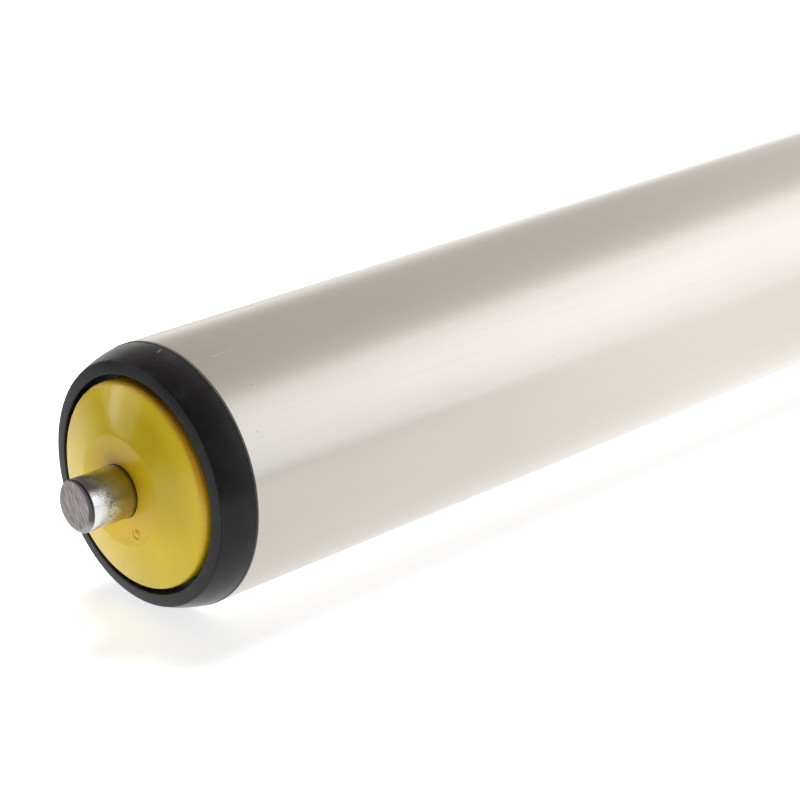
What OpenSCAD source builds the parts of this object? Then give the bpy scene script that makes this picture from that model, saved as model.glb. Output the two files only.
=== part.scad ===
// Gravity conveyor roller: a steel tube that turns on two ball bearings round a spring-loaded axle.
// Units are millimetres. The axle runs along Y and the origin is the middle of the roller.

/* [Tube] */
// Outside diameter of the tube
tube_d = 50; // [49:0.5:80]
// Wall thickness of the tube
tube_wall = 1.5; // [0.8:0.1:2.5]
// Length of the tube
tube_len = 300; // [220:1:1200]
// Chamfer on the inner edge of each tube end
tube_chamfer = 0.4; // [0.1:0.05:0.6]

/* [Axle] */
// Diameter of the axle
axle_d = 10; // [8:0.1:11]
// Length of axle that stands out past each seal disc
axle_out = 9.8; // [6:0.1:16]
// Chamfer on each axle end
axle_chamfer = 0.3; // [0.1:0.05:1]
// Length of the stub that still stands out when the axle is pressed in
stub_left = 0.3; // [0:0.1:2]
// Width of the relief groove where each stub of the axle meets its sliding part
relief_w = 1; // [0.7:0.1:1.5]
// Depth of the relief groove
relief_depth = 0.25; // [0.1:0.05:0.5]

/* [Bearings] */
// Outside diameter of the outer race
race_d = 35; // [33:0.5:37]
// Width of both races
race_w = 9; // [8:0.5:11]
// Depth of the bearing's middle behind the tube end
race_depth = 2; // [1:0.1:4]
// Diameter of each ball
ball_d = 6; // [5:0.1:6.5]
// Number of balls in each bearing
ball_count = 9; // [6:1:10]
// Place of the ball centres between the axle and the outer race's rim, as a share of the way out
pitch_share = 0.6; // [0.56:0.01:0.63]
// Radius of each raceway's groove as a share of the ball's radius
raceway_share = 1.03; // [1.01:0.01:1.08]
// Broken edge of the races
race_edge = 0.4; // [0.1:0.05:0.6]
// Height of each raceway's shoulder above its groove
shoulder_h = 1.1; // [0.6:0.1:1.3]
// Gap between a ball and each raceway
ball_play = 0.015; // [0.005:0.005:0.03]
// Gap between a ball and its cage pocket
pocket_play = 0.15; // [0.05:0.05:0.25]
// Wall of the noses on both sides of the inner race
nose_wall = 2.2; // [1.5:0.1:2.6]
// Length of each nose
nose_len = 3.4; // [3.2:0.1:4.5]
// Gap between the cage and the shoulders of both races
cage_gap = 0.6; // [0.3:0.1:0.8]
// Thickness of the cage behind the balls
cage_back = 1.1; // [0.6:0.1:1.2]
// Height of the cage's horns past the balls' middle
horn_h = 1.6; // [1:0.1:2]
// Width of the slot between two horns
horn_slot = 1; // [0.6:0.1:1.4]

/* [Housing] */
// Length of the tapered band of the flange
band_len = 6.85; // [4:0.05:9]
// How much the band tapers from the tube to its front edge
band_taper = 1.9; // [0.5:0.05:3]
// How far the band's middle swells past a straight taper, as a share of the taper
band_crown = 0.16; // [0:0.01:0.25]
// Width of the cylindrical lip beside the tube
lip_w = 0.45; // [0.2:0.05:1]
// Radial width of the sloping front face
face_w = 2.5; // [1.5:0.1:4]
// How far the front face slopes forward to its inner edge
face_rise = 0.5; // [0.2:0.05:3]
// Depth of the fine step between the band and the front face
step_h = 0.12; // [0.05:0.01:0.3]
// Length of the plug inside the tube
plug_len = 22; // [16:0.5:40]
// Wall of the plug's skin
plug_wall = 2; // [1.2:0.1:2.5]
// Length of the lead-in at the plug's end
plug_lead = 1.5; // [0.5:0.1:3]
// Height of the grip ribs round the plug
grip_h = 0.3; // [0.1:0.05:0.5]
// Width of each grip rib
grip_w = 1.2; // [0.6:0.1:2]
// Number of grip ribs
grip_count = 16; // [8:1:24]
// Wall of the bearing seat
seat_wall = 1.7; // [1:0.1:2]
// Depth of the housing's mouth above the outer race
mouth_lead = 1; // [0.8:0.1:2]
// Thickness of the crown that joins the bearing seat to the flange
crown_t = 4; // [3:0.1:6]
// Depth of the relief that keeps the floor clear of the cage and inner race
floor_relief = 0.8; // [0.5:0.1:1]
// Thickness of the floor behind the bearing
floor_t = 2; // [1.5:0.1:4]
// Gap round the washer where it faces the hole in the floor
floor_gap = 0.55; // [0.3:0.05:1.5]
// Number of webs between the bearing seat and the plug's skin
web_count = 8; // [4:1:12]
// Thickness of each web
web_t = 1.4; // [0.8:0.1:2]

/* [Seal disc] */
// Gap between the seal disc's rim and the housing
rim_gap = 1; // [0.6:0.1:2]
// How far the disc's rim stands above the housing's inner edge
rim_rise = 0.5; // [0:0.05:1]
// Height of the disc's flat face above the housing's inner edge
disc_rise = 3.65; // [2:0.05:6]
// Diameter of the disc's flat face
disc_flat_d = 20.8; // [19:0.1:24]
// Wall of the disc
disc_wall = 1.4; // [1:0.1:2]
// Radius of the rounded rim
rim_round = 1.3; // [0.3:0.1:1.5]
// Gap between the rim's skirt and the housing's floor in front of the bearing
skirt_gap = 0.6; // [0.4:0.1:1]
// Radius that softens the edge of the flat face
flat_round = 2; // [0.5:0.1:3]
// Thickness of the seal lip and of the boss over the inner race's nose
disc_rib = 1.3; // [0.8:0.1:1.6]
// Gap between the seal lip and the outer race
lip_gap = 0.7; // [0.4:0.1:1]
// Distance from the axis to the gate mark on the flat face
gate_at = 8.2; // [7.5:0.1:9]
// Diameter of the gate mark
gate_d = 1.8; // [1:0.1:2.4]
// Depth of the round line that the gate mark leaves
gate_line = 0.15; // [0.05:0.05:0.3]
// Turn of the gate mark about the axle
gate_turn = -58; // [-180:1:180]

/* [Spring and rings] */
// Wire of the spring
wire_d = 1.2; // [0.8:0.1:1.6]
// Middle diameter of the spring's turns
coil_d = 14; // [13:0.1:15]
// Pitch of the closed end turns as a share of the wire
end_turn_share = 1.06; // [1.03:0.01:1.2]
// Share of the wire that is ground away at each end of the spring
ground_share = 0.25; // [0.1:0.05:0.4]
// Working turns of the spring
coil_turns = 8; // [5:1:12]
// Gap left between the turns when the axle is pressed in
coil_spare = 1; // [0.3:0.05:3]
// Thickness of each retaining ring
ring_t = 1; // [0.8:0.1:1.5]
// Depth of the grooves for the retaining rings
groove_depth = 0.2; // [0.15:0.05:0.5]
// Width of a retaining ring opposite its gap
ring_w = 1.9; // [1.5:0.1:2.5]
// Diameter of the ears of a retaining ring
ear_d = 2.8; // [2.2:0.1:3.4]
// Diameter of the plier hole in each ear
ear_hole_d = 1.2; // [0.8:0.1:1.5]
// Gap between the two ears
ear_gap = 1.6; // [1:0.1:2.4]
// Gap on each side of a retaining ring in its groove
groove_play = 0.05; // [0.02:0.01:0.1]
// How far each washer stands out past the inner race's nose
washer_rim = 1.25; // [0.8:0.05:1.6]
// Thickness of the washers
washer_t = 1; // [0.5:0.1:2]

/* [Fits] */
// Gap round the axle in everything that slides on it
slide_gap = 0.05; // [0.03:0.01:0.08]
// Gap between two pieces that are pressed together
press_gap = 0.02; // [0.01:0.01:0.04]

/* [Hidden] */
$fn = 96;
ENDS = ["front", "rear"];

zinc_grey = [0.80, 0.78, 0.74];
steel_grey = [0.62, 0.62, 0.60];
housing_black = [0.10, 0.10, 0.11];
disc_yellow = [0.83, 0.71, 0.27];
cage_white = [0.90, 0.89, 0.84];

// Heights below are measured from the tube's end, positive outwards, and radii from the axle's middle line.
tube_r = tube_d / 2;
tube_bore_r = tube_r - tube_wall;
axle_r = axle_d / 2;
slide_r = axle_r + slide_gap;

// Bearing
ball_r = ball_d / 2;
pitch_r = slide_r + (race_d / 2 - slide_r) * pitch_share;
race_top = race_w / 2 - race_depth;
race_bottom = -race_w / 2 - race_depth;
raceway_r = ball_r * raceway_share;
inner_shoulder_r = pitch_r - ball_r + shoulder_h;
outer_shoulder_r = pitch_r + ball_r - shoulder_h;
inner_raceway_at = pitch_r - ball_r - ball_play + raceway_r;
outer_raceway_at = pitch_r + ball_r + ball_play - raceway_r;
nose_r = slide_r + nose_wall;
nose_top = race_top + nose_len;
nose_bottom = race_bottom - nose_len;
washer_r = nose_r + washer_rim;

// Housing
band_front_r = tube_r - band_taper;
mouth_r = band_front_r - face_w;
mouth_top = band_len + face_rise;
mouth_floor = race_top + mouth_lead;
seat_r = race_d / 2 + press_gap;
seat_outer_r = seat_r + seat_wall;
seat_shoulder_r = outer_shoulder_r + cage_gap;
floor_top = race_bottom - floor_relief;
floor_bottom = floor_top - floor_t;
floor_hole_r = washer_r + floor_gap;
plug_r = tube_bore_r - grip_h;
skin_r = plug_r - plug_wall;
core_top = mouth_floor - crown_t;
// How far ribs and webs run into the wall that carries them
root = 0.5;

// Seal disc
disc_top = mouth_top + disc_rise;
disc_r = mouth_r - rim_gap;
disc_flat_r = disc_flat_d / 2;
flank_angle = atan2(disc_rise - rim_rise, disc_r - disc_flat_r);
skirt_r = disc_r - disc_rib;
skirt_bottom = mouth_floor + skirt_gap;
lip_r = seat_r - lip_gap;
boss_r = nose_r + press_gap;

// Axle, stop ring and spring, all measured from the same tube end as the bearing beside them
axle_len = tube_len + 2 * (disc_top + axle_out);
snap_groove_r = axle_r - groove_depth;
washer_bottom = nose_bottom - washer_t;
press_travel = axle_out - stub_left;
end_pitch = wire_d * end_turn_share;
work_pitch = wire_d + coil_spare + press_travel / coil_turns;
spring_len = 2 * end_pitch + coil_turns * work_pitch + 2 * ground_share * wire_d;
spring_ring_top = washer_bottom - spring_len - washer_t;

// Helpers

// Puts a piece that is drawn upwards from a tube end at one end of the roller
module at_end(end) {
    side = end == "front" ? 1 : -1;
    rotate([90 * side, 0, 0])
        translate([0, 0, tube_len / 2])
            children();
}

// A plain ring from radius r1 to r2 and height z1 to z2
module ring(r1, r2, z1, z2) {
    rotate_extrude()
        translate([r1, z1])
            square([r2 - r1, z2 - z1]);
}

// Height of the seal disc's cone at radius r
function flank(r) = mouth_top + rim_rise + (disc_r - r) * tan(flank_angle);

// Points of an arc
function arc(centre, r, from, to, steps) =
    [for (i = [0 : steps]) let (a = from + (to - from) * i / steps) centre + r * [cos(a), sin(a)]];

// Sub-parts

// Straight tube, its end faces flat and the inner edges chamfered
module tube() {
    half = tube_len / 2;
    color(zinc_grey)
        rotate([90, 0, 0])
            rotate_extrude()
                polygon([
                    [tube_bore_r, tube_chamfer - half],
                    [tube_bore_r + tube_chamfer, -half],
                    [tube_r, -half],
                    [tube_r, half],
                    [tube_bore_r + tube_chamfer, half],
                    [tube_bore_r, half - tube_chamfer]
                ]);
}

// A groove turned into the axle between two heights over the tube end
module axle_groove(end, depth, z1, z2) {
    at_end(end)
        ring(axle_r - depth, tube_r, z1, z2);
}

// Groove for a retaining ring that lies below height z
module ring_groove(end, z) {
    axle_groove(end, groove_depth, z - ring_t - groove_play, z + groove_play);
}

// Through axle with chamfered ends, a relief groove at each seal disc and a groove for each retaining ring
module axle() {
    half = axle_len / 2;
    color(steel_grey)
        difference() {
            rotate([90, 0, 0])
                rotate_extrude()
                    polygon([
                        [0, -half],
                        [axle_r - axle_chamfer, -half],
                        [axle_r, axle_chamfer - half],
                        [axle_r, half - axle_chamfer],
                        [axle_r - axle_chamfer, half],
                        [0, half]
                    ]);
            for (end = ENDS)
                axle_groove(end, relief_depth, disc_top - relief_w, disc_top);
            ring_groove("front", washer_bottom);
            ring_groove("rear", spring_ring_top);
        }
}

// Point of the crowned band at a share of its length, from the lip to the front edge
function band_point(share) =
    let (taper = band_taper - step_h)
        [
            tube_r - step_h - taper * share + taper * band_crown * 4 * share * (1 - share),
            lip_w + (band_len - lip_w) * share
        ];

// Section of the flange: lip beside the tube, crowned band, fine step, sloping face, mouth and crown
module flange_section() {
    steps = 6;
    polygon(concat(
        [
            [seat_r, core_top],
            [plug_r, core_top],
            [plug_r, 0],
            [tube_r, 0],
            [tube_r, lip_w]
        ],
        [for (i = [0 : steps]) band_point(i / steps)],
        [
            [band_front_r - step_h, band_len],
            [band_front_r - step_h, band_len + step_h],
            [mouth_r, mouth_top],
            [mouth_r, mouth_floor],
            [seat_r, mouth_floor]
        ]
    ));
}

// Section of the bearing seat: its wall, the shoulder behind the outer race and the floor
module seat_section() {
    polygon([
        [seat_r, mouth_floor],
        [seat_r, race_bottom],
        [seat_shoulder_r, race_bottom],
        [seat_shoulder_r, floor_top],
        [floor_hole_r, floor_top],
        [floor_hole_r, floor_bottom],
        [seat_outer_r, floor_bottom],
        [seat_outer_r, mouth_floor]
    ]);
}

// Section of the plug's skin, with a lead-in at its end
module skin_section() {
    polygon([
        [skin_r, -plug_len],
        [plug_r - root, -plug_len],
        [plug_r, plug_lead - plug_len],
        [plug_r, 0],
        [skin_r, 0]
    ]);
}

// Moulded bearing housing, pressed into the tube up to its flange
module housing() {
    color(housing_black) {
        rotate_extrude()
            flange_section();
        rotate_extrude()
            seat_section();
        rotate_extrude()
            skin_section();
        // Grip ribs round the plug
        intersection() {
            ring(plug_r - root, tube_bore_r - press_gap, 2 * plug_lead - plug_len, -plug_lead);
            for (i = [0 : grip_count - 1])
                rotate(i * 360 / grip_count)
                    translate([0, -grip_w / 2, -plug_len])
                        cube([tube_r, grip_w, plug_len]);
        }
        // Webs that carry the bearing seat in the plug's skin
        intersection() {
            ring(seat_outer_r - root, skin_r + root, floor_bottom, core_top + root);
            for (i = [0 : web_count - 1])
                rotate((i + 0.5) * 360 / web_count)
                    translate([0, -web_t / 2, floor_bottom])
                        cube([tube_r, web_t, mouth_top - floor_bottom]);
        }
    }
}

// Section of a race's plain ring with broken edges
module race_section(r1, r2) {
    polygon([
        [r1, race_bottom + race_edge],
        [r1 + race_edge, race_bottom],
        [r2 - race_edge, race_bottom],
        [r2, race_bottom + race_edge],
        [r2, race_top - race_edge],
        [r2 - race_edge, race_top],
        [r1 + race_edge, race_top],
        [r1, race_top - race_edge]
    ]);
}

// Outer race with its ball groove
module outer_race() {
    color(steel_grey)
        rotate_extrude()
            difference() {
                race_section(outer_shoulder_r, race_d / 2);
                translate([outer_raceway_at, -race_depth])
                    circle(raceway_r);
            }
}

// Inner race with its ball groove, and a nose on both sides that slides on the axle
module inner_race() {
    color(steel_grey)
        rotate_extrude()
            difference() {
                union() {
                    race_section(slide_r, inner_shoulder_r);
                    polygon([
                        [slide_r, nose_bottom],
                        [nose_r - race_edge, nose_bottom],
                        [nose_r, nose_bottom + race_edge],
                        [nose_r, nose_top - race_edge],
                        [nose_r - race_edge, nose_top],
                        [slide_r, nose_top]
                    ]);
                }
                translate([inner_raceway_at, -race_depth])
                    circle(raceway_r);
            }
}

// Moves a piece to the place of ball number i
module at_ball(i) {
    rotate(i * 360 / ball_count)
        translate([pitch_r, 0, -race_depth])
            children();
}

module ball(i) {
    color(zinc_grey)
        at_ball(i)
            sphere(ball_r);
}

// Snap cage: a ring behind the balls with a round pocket for each and a slotted pair of horns between them
module cage() {
    horn_top = horn_h - race_depth;
    slot_bottom = -race_depth - ball_r / 2;
    color(cage_white)
        difference() {
            ring(
                inner_shoulder_r + cage_gap,
                outer_shoulder_r - cage_gap,
                -race_depth - ball_r - cage_back,
                horn_top
            );
            for (i = [1 : ball_count]) {
                at_ball(i)
                    sphere(ball_r + pocket_play);
                rotate((i + 0.5) * 360 / ball_count)
                    translate([0, -horn_slot / 2, slot_bottom])
                        cube([race_d, horn_slot, horn_top - slot_bottom + 1]);
            }
        }
}

// Section of the seal disc's shell: a flat-topped cone with a rounded rim and a skirt
module disc_section() {
    rim_centre = [
        disc_r - rim_round,
        flank(disc_r) - rim_round * (1 - sin(flank_angle)) / cos(flank_angle)
    ];
    flat_centre = [disc_flat_r - flat_round * tan(flank_angle / 2), disc_top - flat_round];
    polygon(concat(
        [[slide_r, disc_top]],
        arc(flat_centre, flat_round, 90, 90 - flank_angle, 3),
        arc(rim_centre, rim_round, 90 - flank_angle, 0, 5),
        [
            [disc_r, skirt_bottom],
            [skirt_r, skirt_bottom],
            [skirt_r, flank(skirt_r) - disc_wall / cos(flank_angle)],
            [disc_flat_r - disc_wall * tan(flank_angle / 2), disc_top - disc_wall],
            [slide_r, disc_top - disc_wall]
        ]
    ));
}

// Moulded seal disc that stands still with the inner race and covers the bearing
module seal_disc() {
    color(disc_yellow)
        difference() {
            union() {
                rotate_extrude()
                    disc_section();
                // Seal lip that dips into the mouth of the bearing seat
                ring(lip_r - disc_rib, lip_r, race_top + lip_gap, flank(lip_r) - disc_wall / 2);
                // Boss that is pressed over the inner race's nose
                ring(boss_r, boss_r + disc_rib, race_top, disc_top - disc_wall / 2);
            }
            // Gate mark of the moulding
            rotate(gate_turn)
                translate([gate_at, 0, disc_top])
                    rotate_extrude()
                        translate([gate_d / 2, 0])
                            circle(gate_line);
        }
}

// Flat washer that slides on the axle, below height z
module washer(z) {
    color(zinc_grey)
        ring(slide_r, washer_r, z - washer_t, z);
}

// Retaining ring in its groove, below height z: widest opposite its gap, with an ear on each side of it
module retaining_ring(z) {
    inner_r = snap_groove_r + press_gap;
    taper = ring_w / 6;
    ear_at = inner_r + ear_d / 2;
    ear_turn = asin((ear_gap + ear_d) / 2 / ear_at);
    color(steel_grey)
        translate([0, 0, z - ring_t])
            linear_extrude(ring_t)
                difference() {
                    union() {
                        translate([-taper, 0])
                            circle(inner_r + ring_w - taper);
                        for (side = [-1, 1])
                            rotate(side * ear_turn)
                                translate([ear_at, 0])
                                    circle(ear_d / 2);
                    }
                    circle(inner_r);
                    translate([0, -ear_gap / 2])
                        square([tube_r, ear_gap]);
                    for (side = [-1, 1])
                        rotate(side * ear_turn)
                            translate([ear_at, 0])
                                circle(ear_hole_d / 2);
                }
}

// Height of the spring wire's middle after so many turns: closed end turns, open ones between them
function coil_height(turn) =
    ground_share * wire_d
    + end_pitch * (min(turn, 1) + max(turn - 1 - coil_turns, 0))
    + work_pitch * min(max(turn - 1, 0), coil_turns);

// Compression spring with closed, ground ends, swept as one solid from height 0 to spring_len
module spring_wire() {
    steps = 20;
    sides = 8;
    last = steps * (coil_turns + 2);
    points = [
        for (i = [0 : last], j = [0 : sides - 1])
            let (turn = i / steps, a = 360 * turn, b = 360 * j / sides, r = (coil_d + wire_d * cos(b)) / 2)
                [r * cos(a), r * sin(a), coil_height(turn) + wire_d / 2 * sin(b)]
    ];
    walls = [
        for (i = [0 : last - 1], j = [0 : sides - 1])
            let (k = (j + 1) % sides)
                [i * sides + j, i * sides + k, (i + 1) * sides + k, (i + 1) * sides + j]
    ];
    caps = [[for (j = [0 : sides - 1]) sides - 1 - j], [for (j = [0 : sides - 1]) last * sides + j]];
    polyhedron(points, concat(walls, caps), convexity = coil_turns);
}

module spring() {
    color(steel_grey)
        translate([0, 0, washer_bottom - spring_len])
            intersection() {
                spring_wire();
                cylinder(h = spring_len, r = coil_d);
            }
}

tube();
axle();
for (end = ENDS) {
    at_end(end) housing();
    at_end(end) outer_race();
    at_end(end) cage();
    at_end(end) inner_race();
    at_end(end) seal_disc();
    for (i = [1 : ball_count])
        at_end(end) ball(i);
}
at_end("rear") spring();
at_end("rear") washer(nose_bottom);  // spring_seat
at_end("rear") washer(washer_bottom - spring_len);  // spring_washer
at_end("rear") retaining_ring(spring_ring_top);  // spring_ring
at_end("front") washer(nose_bottom);  // stop_washer
at_end("front") retaining_ring(washer_bottom);  // stop_ring
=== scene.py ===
import math

import bmesh
import bpy
from mathutils import Matrix, Vector


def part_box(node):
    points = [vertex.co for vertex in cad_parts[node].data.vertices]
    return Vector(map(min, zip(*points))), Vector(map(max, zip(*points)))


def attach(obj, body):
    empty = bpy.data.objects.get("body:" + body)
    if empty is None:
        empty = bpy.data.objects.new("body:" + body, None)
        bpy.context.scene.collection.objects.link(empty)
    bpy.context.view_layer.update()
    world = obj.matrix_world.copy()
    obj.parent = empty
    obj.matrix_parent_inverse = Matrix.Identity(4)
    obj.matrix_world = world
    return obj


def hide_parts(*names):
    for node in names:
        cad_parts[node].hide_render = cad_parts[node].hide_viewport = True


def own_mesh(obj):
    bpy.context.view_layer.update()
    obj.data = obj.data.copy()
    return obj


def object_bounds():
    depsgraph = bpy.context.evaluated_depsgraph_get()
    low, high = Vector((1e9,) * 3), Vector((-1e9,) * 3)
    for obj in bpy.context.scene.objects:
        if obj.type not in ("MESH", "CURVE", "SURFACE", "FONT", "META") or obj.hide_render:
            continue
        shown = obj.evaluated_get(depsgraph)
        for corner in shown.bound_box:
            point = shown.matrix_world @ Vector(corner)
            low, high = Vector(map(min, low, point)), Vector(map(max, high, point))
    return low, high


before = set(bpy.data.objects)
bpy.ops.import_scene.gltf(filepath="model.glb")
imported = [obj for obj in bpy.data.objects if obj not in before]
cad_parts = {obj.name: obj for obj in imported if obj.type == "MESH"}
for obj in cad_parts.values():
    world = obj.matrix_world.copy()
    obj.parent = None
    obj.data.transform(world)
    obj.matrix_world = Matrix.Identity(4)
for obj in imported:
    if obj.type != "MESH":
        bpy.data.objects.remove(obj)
cad_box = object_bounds()

MM = 0.001
ENDS = {"front": -1, "rear": 1}

# ---------------------------------------------------------------- sizes, in millimetres
# Radii are from the axle's middle line and heights from the tube's end, positive outwards.
# Each round is a corner's radius, and its arc has a point at least every arc_step degrees.
# The frame's boxes are in metres.
arc_step = 12
tube_low, tube_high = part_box("tube")
axle_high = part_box("axle")[1]
disc_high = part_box("rear_seal_disc")[1]
tube_half = tube_high.y / MM
tube_r = tube_high.x / MM
tube_wall = 1.5
tube_bore_r = tube_r - tube_wall
tube_round = 0.12
tube_lead = 0.4
tube_lead_round = 0.1
axle_half = axle_high.y / MM
axle_r = axle_high.x / MM
slide_r = axle_r + 0.05
disc_top = disc_high.y / MM - tube_half
disc_r = disc_high.x / MM
edge_break = 0.15

# Housing
lip_w = 0.45
lip_round = 0.12
lip_root_round = 0.03
step_h = 0.12
band_len = 6.85
band_front_r = tube_r - 1.9
band_crown = 0.16
band_round = 0.14
face_round = 0.06
mouth_r = band_front_r - 2.5
mouth_top = band_len + 0.5
mouth_floor = 3.5
mouth_round = 0.3
race_r = 17.52
race_floor = -6.5
seat_outer_r = 19.22
shoulder_r = 15.0
floor_top = -7.3
floor_bottom = -9.3
floor_hole_r = 9.05
plug_len = 22
plug_lead = 1.5
plug_taper = 0.5
plug_round = 0.3
plug_r = tube_bore_r - 0.3
skin_r = plug_r - 2
core_top = -0.5
grip_count = 16
grip_w = 1.2
grip_len = plug_len - 3 * plug_lead
grip_r = tube_bore_r - 0.02
web_count = 8
web_t = 1.4
root = 0.5

# Seal disc
disc_hole_round = 0.08
disc_flat_r = 10.4
disc_flat_round = 2.0
rim_top = mouth_top + 0.5
rim_round = 1.3
disc_wall = 1.4
disc_rib = 1.3
rib_round = 0.2
ceiling_round = 0.4
skirt_bottom = 4.1
lip_r = 16.82
lip_bottom = 3.2
boss_r = 7.27
boss_bottom = 2.5
boss_round = 0.3
gate_at = 8.2
gate_turn = math.radians(-58)
gate_r = 0.9
gate_line_r = 0.3
gate_line_lift = 0.14
nub_r = 0.5
nub_sink = 0.34

# Axle
axle_chamfer = 0.3
axle_chamfer_round = 0.2
axle_face_round = 0.12
relief_w = 1.0
relief_depth = 0.25
ring_groove_w = 1.1
ring_groove_depth = 0.2
stop_ring_low = -11.95
spring_ring_low = -43.19

# Spring
wire_r = 0.6
coil_r = 7.0
coil_turns = 8
coil_steps = 28
closed_pitch = 2 * wire_r * 1.06


# ---------------------------------------------------------------- outlines
def rounded(points):
    """An outline from (radius, height, round) corners: each corner with a round gets an arc."""
    outline = []
    count = len(points)
    for i, (x, y, r) in enumerate(points):
        here = Vector((x, y))
        if r == 0:
            outline.append(here)
            continue
        before = (Vector(points[i - 1][:2]) - here).normalized()
        after = (Vector(points[(i + 1) % count][:2]) - here).normalized()
        half = before.angle(after) / 2
        reach = r / math.tan(half)
        centre = here + (before + after).normalized() * (r / math.sin(half))
        start = here + before * reach - centre
        turn = math.pi - 2 * half
        side = 1 if start.x * (here - centre).y - start.y * (here - centre).x > 0 else -1
        steps = max(2, math.ceil(math.degrees(turn) / arc_step))
        for k in range(steps + 1):
            a = side * turn * k / steps
            outline.append(centre + Vector((
                start.x * math.cos(a) - start.y * math.sin(a),
                start.x * math.sin(a) + start.y * math.cos(a),
            )))
    return outline


def crowned_band():
    """Inner points of the flange's crowned band, from the lip to its front edge."""
    taper = tube_r - band_front_r - step_h
    steps = 14
    points = []
    for i in range(1, steps):
        share = i / steps
        swell = taper * band_crown * 4 * share * (1 - share)
        points.append((tube_r - step_h - taper * share + swell, lip_w + (band_len - lip_w) * share, 0))
    return points


def housing_outline():
    """Plug, lip, crowned band with its fine step, sloping face, mouth, bearing seat and floor."""
    return rounded([
        (skin_r, -plug_len, plug_round),
        (plug_r - plug_taper, -plug_len, 0),
        (plug_r, plug_lead - plug_len, 0),
        (plug_r, 0, 0),
        (tube_r, 0, lip_root_round),
        (tube_r, lip_w, lip_round),
        (tube_r - step_h, lip_w, 0),
        *crowned_band(),
        (band_front_r, band_len, band_round),
        (band_front_r - step_h, band_len, 0),
        (band_front_r - step_h, band_len + step_h, face_round),
        (mouth_r, mouth_top, mouth_round),
        (mouth_r, mouth_floor, 0),
        (race_r, mouth_floor, edge_break),
        (race_r, race_floor, 0),
        (shoulder_r, race_floor, 0),
        (shoulder_r, floor_top, 0),
        (floor_hole_r, floor_top, edge_break),
        (floor_hole_r, floor_bottom, edge_break),
        (seat_outer_r, floor_bottom, edge_break),
        (seat_outer_r, core_top, 0),
        (skin_r, core_top, 0),
    ])


def disc_outline():
    """Flat-topped cone with a rounded rim and skirt, a seal lip and the boss round the axle."""
    slope = (disc_top - rim_top) / (disc_r - disc_flat_r)
    lean = math.atan(slope)
    drop = disc_wall / math.cos(lean)

    def under(r):
        """Height of the cone's underside at a radius."""
        return rim_top + (disc_r - r) * slope - drop

    skirt_r = disc_r - disc_rib
    lip_in = lip_r - disc_rib
    ceiling = disc_top - disc_wall
    return rounded([
        (slide_r, disc_top, disc_hole_round),
        (disc_flat_r, disc_top, disc_flat_round),
        (disc_r, rim_top, rim_round),
        (disc_r, skirt_bottom, rib_round),
        (skirt_r, skirt_bottom, rib_round),
        (skirt_r, under(skirt_r), 0),
        (lip_r, under(lip_r), 0),
        (lip_r, lip_bottom, rib_round),
        (lip_in, lip_bottom, rib_round),
        (lip_in, under(lip_in), 0),
        (disc_flat_r - disc_wall * math.tan(lean / 2), ceiling, ceiling_round),
        (boss_r + disc_rib, ceiling, boss_round),
        (boss_r + disc_rib, boss_bottom, rib_round),
        (boss_r, boss_bottom, rib_round),
        (boss_r, ceiling, 0),
        (slide_r, ceiling, 0),
    ])


def tube_outline():
    """Wall of the tube from end to end, with a lead into its bore, along the world's Y axis."""
    return rounded([
        (tube_bore_r, tube_lead - tube_half, tube_lead_round),
        (tube_bore_r + tube_lead, -tube_half, tube_lead_round),
        (tube_r, -tube_half, tube_round),
        (tube_r, tube_half, tube_round),
        (tube_bore_r + tube_lead, tube_half, tube_lead_round),
        (tube_bore_r, tube_half - tube_lead, tube_lead_round),
    ])


def axle_outline():
    """Half section of the axle from end to end, with its relief and ring grooves, along Y."""
    points = [
        (0, -axle_half, 0),
        (axle_r - axle_chamfer, -axle_half, axle_face_round),
        (axle_r, axle_chamfer - axle_half, axle_chamfer_round),
    ]
    disc_face = tube_half + disc_top
    grooves = [
        (-disc_face, relief_w, relief_depth),
        (-tube_half - stop_ring_low - ring_groove_w, ring_groove_w, ring_groove_depth),
        (tube_half + spring_ring_low, ring_groove_w, ring_groove_depth),
        (disc_face - relief_w, relief_w, relief_depth),
    ]
    for start, width, depth in grooves:
        points += [
            (axle_r, start, 0),
            (axle_r - depth, start, 0),
            (axle_r - depth, start + width, 0),
            (axle_r, start + width, 0),
        ]
    points += [
        (axle_r, axle_half - axle_chamfer, axle_chamfer_round),
        (axle_r - axle_chamfer, axle_half, axle_face_round),
        (0, axle_half, 0),
    ]
    return rounded(points)


# ---------------------------------------------------------------- node helpers
def add(tree, kind, inputs=None, **settings):
    """A node with its settings, and its inputs given as values or as sockets to link from."""
    made = tree.nodes.new(kind)
    for key, value in settings.items():
        setattr(made, key, value)
    for key, value in (inputs or {}).items():
        if isinstance(value, bpy.types.NodeSocket):
            tree.links.new(value, made.inputs[key])
        else:
            made.inputs[key].default_value = value
    return made


def math_node(tree, operation, *values):
    return add(tree, "ShaderNodeMath", dict(enumerate(values)), operation=operation).outputs[0]


def vector_node(tree, operation, *values):
    """Vector maths. Lengths, distances and dot products come out as a number."""
    made = add(tree, "ShaderNodeVectorMath", dict(enumerate(values)), operation=operation)
    return made.outputs["Value" if operation in ("DISTANCE", "DOT_PRODUCT", "LENGTH") else "Vector"]


def graded(tree, value, start, end, first=0.0, last=1.0):
    """Goes from first to last in a straight line while the value goes from start to end."""
    return add(tree, "ShaderNodeMapRange", {
        "Value": value, "From Min": start, "From Max": end, "To Min": first, "To Max": last,
    }).outputs[0]


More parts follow.
